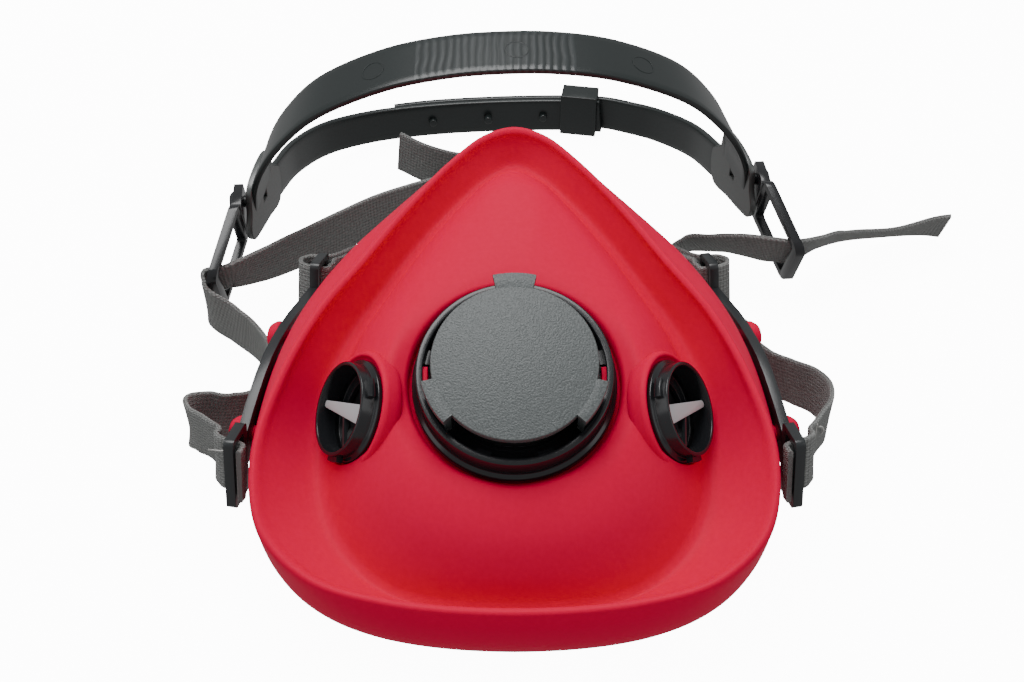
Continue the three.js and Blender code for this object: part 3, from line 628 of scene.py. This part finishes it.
# ------------------------------------------------------------------ exhalation valve

RING_RADIUS = 22.9
RING_BORE = 21.2
RING_TOP = 13
LEDGES = (38, 78, 160, -38, -78, -160)
COVER_TABS = ((-13, 13, 22.8), (103, 133, 21.8), (-133, -103, 21.8))
COVER_RADIUS = 19.2
COVER_TOP = 18.7
COVER_LOW = COVER_TOP - 1.8

housing = lathe([
    (17.6, -3), (19.1, -3), (19.1, 3.8), (24.1, 3.8), (24.1, 6.2), (RING_RADIUS, 7),
    (RING_RADIUS, RING_TOP), (RING_BORE, RING_TOP), (RING_BORE, 6.4), (15.8, 6.4), (15.8, 7.6),
    (14.2, 7.6), (14.2, 4.6), (17.6, 4.6)], 0.35, 160)
seat_parts = [housing, rod(2.4, 4.6, 7), rod(1, 6, 11), rod(1.9, 10.6, 11.4)]
for k in range(6):
    spoke = box((-1, 2, 4.6), (1, 14.75, 6.4))
    seat_parts.append(moved(spoke, Matrix.Rotation(k * math.pi / 3, 4, "Z")))
for at in LEDGES:
    seat_parts.append(arc_wall(19.8, RING_BORE + 0.3, at - 5, at + 5, 10.2, 11.4, 0.2))
piece("exhalation_valve_housing", *moved(joined(seat_parts), MASK), "black",
      stands_for=["exhalation_valve_seat"])

disc = [(0, COVER_LOW), (COVER_RADIUS, COVER_LOW), (COVER_RADIUS, COVER_TOP), (0, COVER_TOP)]
cover_parts = [lathe(disc, 0.25, 160)]
for start, end, reach in COVER_TABS:
    cover_parts.append(arc_wall(COVER_RADIUS - 1.2, reach, start, end, COVER_LOW, COVER_TOP - 0.01, 0.25))
    cover_parts.append(arc_wall(COVER_RADIUS - 0.2, 20.8, start + 2, end - 2, 9, COVER_LOW + 0.5, 0.2))
for label, start in (("left", -99), ("right", 86)):
    window = arc_wall(20.1, RING_BORE + 0.1, start, start + 13, 6.6, 12.4, 0.2)
    piece(f"valve_window_{label}", *moved(window, MASK), "silicone")
piece("valve_cover_disc", *moved(joined(cover_parts), MASK), "cover", body="cover",
      stands_for=["valve_cover"])


# ------------------------------------------------------------------ ports

PORT_RADIUS = 11.3
PORT_BORE = 10.4
PORT_LUGS = (83, -37, -157)
LUG_HALF = 11  # degrees
WEDGE_TURN = math.radians(27)


def port(side):
    """The port's tube, its three-armed spider with the flap's pin, and the lugs of its collar."""
    tube = lathe([
        (PORT_BORE, 5), (PORT_RADIUS, 5), (PORT_RADIUS, 1.7), (12.5, 1.3), (12.5, 0.3),
        (10.4, 0.3), (10.4, -8), (9.4, -8), (9.4, -2.6), (8, -2.6), (8, -1.2), (PORT_BORE, -1.2)], 0.25)
    parts = [tube, rod(1.9, -2.6, -0.8), rod(0.8, -5.6, -2), rod(1.6, -6.2, -5.4)]
    for k in range(3):
        spoke = box((-0.8, 0, -2.5), (0.8, 8.6, -1.3))
        parts.append(moved(spoke, Matrix.Rotation(k * 2 * math.pi / 3, 4, "Z")))
    for at in PORT_LUGS:
        start = -side * at - LUG_HALF
        parts.append(arc_wall(PORT_RADIUS - 0.4, 12.7, start, start + 2 * LUG_HALF, 2.2, 3.9, 0.3))
    return joined(parts)


def prism(outline, low, high):
    """A flat outline given a thickness along +Z."""
    n = len(outline)
    verts = [(x, y, low) for x, y in outline] + [(x, y, high) for x, y in outline]
    faces = [tuple(reversed(range(n))), tuple(range(n, 2 * n))]
    faces += [(i, (i + 1) % n, (i + 1) % n + n, i + n) for i in range(n)]
    return verts, faces


def retainer(side):
    """The wedge across the port, narrow end outwards. Its light grey colour is a painted highlight, the light
    falling on it inside the port.
    """
    reach = PORT_BORE - 0.3
    narrow = [(side * (reach - 0.9 + 0.9 * math.cos(t)), 0.9 * math.sin(t))
              for t in (math.radians(a) for a in range(90, -91, -18))]
    wide = -side * reach * 0.97
    arm = prism([(wide, 2.5), *narrow, (wide, -2.5)], 2.6, 3.6)
    return moved(arm, Matrix.Rotation(side * WEDGE_TURN, 4, "Z"))


for label, side in SIDES:
    place = port_matrix(side)
    piece(f"port_{label}_body", *moved(port(side), place), "black", stands_for=[f"port_{label}"])
    # The wedge's grey material is painted highlight.
    wedge = piece(f"port_{label}_wedge", *moved(retainer(side), place), "grey",
                  stands_for=[f"port_retainer_{label}"])
    dress(bevelled(wedge, 0.2), "grey", "mask", stands_for=[f"port_retainer_{label}"])
    piece(f"port_{label}_stem", *moved(box((-0.3, -9.9, 2.6), (0.3, -0.5, 3.55)), place), "satin")


# ------------------------------------------------------------------ bars, hangers and clip

def from_cad(node, name, look, body, width):
    """A copy of a CAD node with its edges rounded, which stands for the node."""
    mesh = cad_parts[node].data.copy()
    shell = bmesh.new()
    shell.from_mesh(mesh)
    bmesh.ops.remove_doubles(shell, verts=shell.verts, dist=1e-5)
    bmesh.ops.dissolve_limit(shell, angle_limit=math.radians(0.5), verts=shell.verts, edges=shell.edges)
    shell.to_mesh(mesh)
    shell.free()
    made = bpy.data.objects.new(name, mesh)
    scene.collection.objects.link(made)
    bevelled(made, width)
    return dress(made, look, body, stands_for=[node])


for label in ("left", "right"):
    from_cad(f"harness_bar_{label}", f"bar_{label}", "satin", "mask", 0.5)
    from_cad(f"hanger_{label}", f"hanger_{label}_frame", "black", "mask", 0.5)
from_cad("neck_clip_hook", "clip_hook", "satin", "mask", 0.4)
from_cad("neck_clip_eye", "clip_eye", "satin", "mask", 0.4)


# ------------------------------------------------------------------ head cradle

CROWN = [(69.8, 0, 24), (68.6, -1.2, 33), (65.6, -2.4, 41.5), (60, -3.4, 50.5), (50, -4.8, 60.8),
         (31, -6, 70), (14, -6.5, 73.6), (0, -6.7, 74.4)]
REAR = [(69.2, 2, 21.5), (66.3, 14, 18.8), (61.6, 30, 14.4), (52.5, 44, 10.3), (38, 52.8, 7.6),
        (20, 57, 6.3), (0, 58, 6.05)]
LEFT_TAIL = [(20, 57, 6.3), (29.5, 55.4, 6.8), (36, 53.4, 7.4)]
RIGHT_TAIL = [(52.5, 44, 10.3), (45, 50.4, 8.6), (38, 54.8, 7.6), (29.5, 57.4, 6.8), (20, 58.9, 6.3),
              (0, 59.9, 6.05), (-20, 58.9, 6.3), (-31, 56.7, 6.9)]
BAND_THICKNESS = 1.8
PIN_MARKS = (-34, 4, 38)
PEGS = (-18.5, -0.5, 17.5)
KEEPER = (29.5, 56.6, 7.8)
PLATE = [(-13, 21), (-11.5, 17), (-7, 15.5), (2, 14), (13, 12.5), (15, 23), (10.5, 27.5), (8.4, 34),
         (-8.4, 33), (-10.8, 26)]
PLATE_HOLE = [(-0.5, 22), (-0.5, 25), (2.5, 25), (2.5, 22)]
PLATE_X = 71
PLATE_YAW = math.radians(14)
KNOB = (-5.5, 26.5)


def cradle_part(name, part, look="cradle", sharp=35, stands_for=()):
    return piece(name, *moved(part, CRADLE), look, "cradle", sharp, stands_for)


def crown_width(p):
    yaw = PLATE_YAW * (p[0] / CROWN[0][0]) ** 3
    return -math.sin(yaw), math.cos(yaw), 0.12


def pin_mark(x):
    """A faint circle left by the mould on the crown band."""
    line = catmull(whole, 400)
    i = int(np.argmin(abs(line[:, 0] - x)))
    along = Vector(line[i + 1] - line[i - 1]).normalized()
    wide = Vector(crown_width(line[i])).normalized()
    out = along.cross(wide).normalized()
    out = out if out.z > 0 else -out
    mark = ring(2.9, 3.25, 0.84, 0.98, 0.03, 48)
    return moved(mark, basis(wide.cross(out), wide, out, Vector(line[i])))


whole = [(-x, y, z) for x, y, z in CROWN] + list(reversed(CROWN[:-1]))
crown = band(whole, 16, BAND_THICKNESS, 1.0, 8, 0.5, crown_width)[:2]
cradle_part("crown_band", crown, "crown", stands_for=["head_cradle"])
for i, x in enumerate(PIN_MARKS):
    cradle_part(f"crown_pin_mark_{i + 1}", pin_mark(x))
left_tail = [(-x, y, z) for x, y, z in REAR] + LEFT_TAIL
right_tail = REAR[:3] + RIGHT_TAIL
cradle_part("rear_tail_left", band(left_tail, 12, BAND_THICKNESS, across=6)[:2])
cradle_part("rear_tail_right", band(right_tail, 12, BAND_THICKNESS, across=6)[:2])
for i, x in enumerate(PEGS):
    place = Matrix.Translation((x, 57.3, 6.2)) @ Matrix.Rotation(math.pi / 2, 4, "X")
    cradle_part(f"size_peg_{i + 1}", moved(rod(1.3, 0, 2.6, 0.5), place))


def keeper():
    """The sleeve that holds the two tails together."""
    outline = rounded([(-3.7, -7.5), (3.7, -7.5), (3.7, 7.5), (-3.7, 7.5)], 1.2, 4)
    window = rounded([(-2.05, -6.6), (2.05, -6.6), (2.05, 4.8), (-2.05, 4.8)], 0.6, 4)
    rows = [[(x, y, z) for y, z in line] for line, x in
            ((outline, -5.8), (outline, 5.8), (window, 5.8), (window, -5.8))]
    place = Matrix.Translation(KEEPER) @ Matrix.Rotation(-0.23, 4, "Z")
    return moved(grid(rows, True), place)


sleeve = cradle_part("size_keeper", keeper())
dress(bevelled(sleeve, 0.3), "cradle", "cradle")


def drawn_flat(outlines):
    """A thin plate with a rounded rim, from its outline and the outlines of its holes."""
    curve = bpy.data.curves.new("plate", "CURVE")
    curve.dimensions, curve.fill_mode = "2D", "BOTH"
    for outline in outlines:
        line = curve.splines.new("POLY")
        line.points.add(len(outline) - 1)
        for point, (x, y) in zip(line.points, outline):
            point.co = (x, y, 0, 1)
        line.use_cyclic_u = True
    curve.extrude, curve.bevel_depth, curve.bevel_resolution, curve.offset = 0.6, 0.3, 2, -0.3
    temporary = bpy.data.objects.new("plate", curve)
    scene.collection.objects.link(temporary)
    graph = bpy.context.evaluated_depsgraph_get()
    mesh = bpy.data.meshes.new_from_object(temporary.evaluated_get(graph))
    bpy.data.objects.remove(temporary)
    return [tuple(v.co) for v in mesh.vertices], [tuple(f.vertices) for f in mesh.polygons]


def side_plate(side):
    """The web between the two bands, with its square hole and the knob that the hanger turns on."""
    plate = drawn_flat((catmull(PLATE, 80, closed=True), PLATE_HOLE))
    pivot = Matrix.Translation((*KNOB, 0))
    to_knob = Matrix.Translation((-KNOB[0], -KNOB[1], 0))
    plate = moved(plate, pivot @ Matrix.Rotation(PLATE_YAW, 4, "Y") @ to_knob)
    knob = [(0, -0.6), (1.6, -0.6), (1.6, 5.3), (2.9, 5.3), (2.9, 6.2), (1.9, 7.0), (0, 7.0)]
    turned = moved(lathe(knob, 0.4, 40), pivot)
    outward = Vector((side, 0, 0))
    upright = basis(Vector((0, 1, 0)), Vector((0, 0, 1)), outward, outward * PLATE_X)
    return moved(plate, upright), moved(turned, upright)


for label, side in SIDES:
    plate, knob = side_plate(side)
    cradle_part(f"side_plate_{label}", plate, "plate")
    cradle_part(f"side_knob_{label}", knob, "satin")


# ------------------------------------------------------------------ webbing

WEB_WIDTH = 15
WEB_THICKNESS = 1.3
THREAD = 0.4
LOWER_FRAME = (-9.5, 26, 15)  # along the bar, up, and lean in degrees
UPPER_FRAME = (60.5, 19.2, 20)
# The loops are [along, out] from a frame's post. The straps are [x, y, z, lean in degrees].
LOWER_LOOP = [(-4.6, -3.5), (-2.6, -3.6), (-1, -3.2), (-0.2, -1.6), (0, 0.6),
              (0.6, 2.6), (2.4, 4.4), (5.5, 5)]
UPPER_LOOP = [(10.8, -5.8), (7.3, -4.1), (3.5, -4.2), (0.6, -3.8), (-0.4, -1.2), (0, 2), (2, 4.6),
              (5, 5), (7.2, 3.2), (7.9, 0.4), (9.2, -2), (12, -4.3)]
HEAD_STRAP_LEFT = [
    (-75.5, 1.5, 23.4), (-80, 6, 21.8), (-81.6, 10.2, 20), (-79.3, 14, 17.6), (-74.2, 16.8, 14.6),
    (-69, 20.6, 11.8), (-65.8, 27, 9.6), (-65, 35, 8.6), (-67, 43.5, 8.4), (-71.5, 50, 8.8),
    (-77.5, 54.5, 10.6), (-84.3, 58.5, 13.6), (-86, 62, 14.9), (-85.9, 64.9, 16.4, 12),
    (-83.4, 66.4, 17, 23), (-81, 67, 17.2, 25), (-78.3, 68.4, 17.4, 23), (-72, 75, 14.8, 16),
    (-63.5, 86, 10.4, 7), (-52, 97, 8.2), (-41, 105, 8.2), (-25, 113, 8.2), (-14, 118, 8.2),
    (-8.6, 121.3, 8.2), (-10.5, 124.8, 8.2), (-17, 124.6, 8.6), (-27, 127.5, 9.6), (-36, 132.5, 10.8)]
HEAD_STRAP_RIGHT = [
    (75, 3, 23.2), (78.6, 9.6, 21.4), (79.8, 17, 19), (78, 23.6, 16.6), (73.6, 29.4, 14),
    (68.6, 35.2, 11.6), (65, 43, 9), (61.5, 50.4, 7.2, 32), (56.5, 56.5, 4, 68), (51, 62, 1.3, 88),
    (45.5, 70, 1.2, 90), (42.6, 78.6, 2.8, 76), (44, 86, 7.4, 36), (51, 88.6, 10.4, 34), (59, 86, 13, 36),
    (65.5, 82.8, 15, 30), (70.5, 80.2, 16.3, 25), (75.3, 78.4, 17.2, 25), (78.9, 78, 17, 25),
    (85, 80.7, 16.2, 30), (91.5, 86.6, 13.4, 38), (99.5, 92, 10.6, 42), (111, 96.4, 8.2, 42),
    (124, 100.3, 7.3, 31), (129.7, 100.5, 7.3, 25)]
NECK_REST = [(43.5, 76.2, 13.6), (36.5, 79.4, 12), (25, 81.3, 12), (15, 82.4, 12), (9, 82.6, 12)]
UNSHIFT = SHIFT.inverted()


def loop_points(side, outline, place):
    """A loop round a leaning post of a bar, each point with the lean that follows the post."""
    along, up, lean = place
    slope = math.radians(lean)
    bar = UNSHIFT @ bar_matrix(side)
    points = []
    for i, (run, out) in enumerate(outline):
        before, after = outline[max(i - 1, 0)], outline[min(i + 1, len(outline) - 1)]
        step = Vector(after) - Vector(before)
        at = bar @ Vector((along + run * math.cos(slope), up - run * math.sin(slope), out))
        points.append((*at, -side * lean * step.y / step.length))
    return points


def strap(name, points, node):
    *part, uv = band(points, WEB_WIDTH, WEB_THICKNESS, 0.6, 16, 0.45)
    piece(name, *moved(part, SHIFT), "webbing", sharp=70, stands_for=[node], uv=uv)


for (label, side), tail in zip(SIDES, (HEAD_STRAP_LEFT, HEAD_STRAP_RIGHT)):
    points = loop_points(side, LOWER_LOOP, LOWER_FRAME) + tail
    strap(f"head_webbing_{label}", points, f"head_strap_{label}")
for label, side in SIDES:
    rest = [(side * x, y, z) for x, y, z in NECK_REST]
    points = loop_points(side, UPPER_LOOP, UPPER_FRAME) + rest
    strap(f"neck_webbing_{label}", points, f"neck_strap_{label}")


def thread(name, points):
    strand = band(points, THREAD, THREAD, 0.5, 1, 0.15)[:2]
    piece(name, *moved(strand, SHIFT), "thread")


thread("loose_thread_left", [(-76, 0.8, 19.8), (-74.2, -2.5, 23.5), (-72.6, -5.6, 27), (-71.2, -8.2, 29.8),
                             (-69.6, -9.8, 31.6), (-66, -11, 33.5)])
thread("loose_thread_right", [(73.9, -0.8, 30.1), (75, 0.3, 28.8), (75.7, 0.9, 27.1), (76.2, 2.4, 25.2),
                              (76, 2.8, 23.6)])
thread("sewn_edge_right", [(72.7, -3.7, 17.5), (72.9, -2.9, 21.4), (73.1, -2.1, 25.3), (73.3, -0.9, 31.2)])


# ------------------------------------------------------------------ CAD nodes that show as they are

PLAIN_NODES = {
    "exhalation_flap": "flap",
    "inhalation_flap_left": "flap",
    "inhalation_flap_right": "flap",
    "exhalation_clamp_ring": "black",
    "port_nut_left": "black",
    "port_nut_right": "black",
}
for node, look in PLAIN_NODES.items():
    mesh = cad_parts[node].data
    for i in range(len(mesh.materials)):
        mesh.materials[i] = MATERIALS[look]


# ------------------------------------------------------------------ floor, lights and camera

FLOOR_HALF = 3
FLOOR_DROP = 0.0004
FLOOR_GLOW = 12
STUDIO_LIGHT = 0.45
floor_mesh = bpy.data.meshes.new("floor")
corners = [(x * FLOOR_HALF, y * FLOOR_HALF, 0) for x, y in ((-1, -1), (1, -1), (1, 1), (-1, 1))]
floor_mesh.from_pydata(corners, [], [(0, 1, 2, 3)])
floor = bpy.data.objects.new("floor", floor_mesh)
scene.collection.objects.link(floor)
floor.location.z = -FLOOR_DROP
pale = plain("pale_floor", (0.9, 0.9, 0.9), 0.9, 0.1)
glow = pale.node_tree.nodes["Principled BSDF"].inputs
glow["Emission Color"].default_value = (1, 1, 1, 1)
glow["Emission Strength"].default_value = FLOOR_GLOW
floor_mesh.materials.append(pale)
floor.visible_diffuse = False
floor.visible_glossy = False

world = bpy.data.worlds.new("studio")
scene.world = world
world.use_nodes = True
sky = world.node_tree.nodes["Background"].inputs
sky["Color"].default_value = (1, 1, 1, 1)
sky["Strength"].default_value = STUDIO_LIGHT


def area(name, place, size, power):
    """A soft rectangular lamp that faces the mask."""
    lamp = bpy.data.lights.new(name, "AREA")
    lamp.shape, lamp.size, lamp.size_y, lamp.energy = "RECTANGLE", size[0], size[1], power
    holder = bpy.data.objects.new(name, lamp)
    holder.location = place
    holder.rotation_euler = (Vector(AIM) - Vector(place)).to_track_quat("-Z", "Y").to_euler()
    scene.collection.objects.link(holder)


AIM = (-0.02, -0.04, 0.03)
area("key", (-0.15, 0.25, 0.9), (0.7, 0.5), 8)
area("fill_left", (-0.8, -0.3, 0.5), (0.5, 0.7), 1.2)
area("fill_right", (0.8, -0.3, 0.5), (0.5, 0.7), 1.2)

camera_data = bpy.data.cameras.new("camera")
camera_data.lens = 52.73
camera_data.sensor_width = 36
camera_data.clip_start = 0.01
camera = bpy.data.objects.new("camera", camera_data)
camera.location = (-0.0217, -0.2994, 0.3023)
camera.rotation_euler = (math.radians(45), 0, 0)
scene.collection.objects.link(camera)
scene.camera = camera
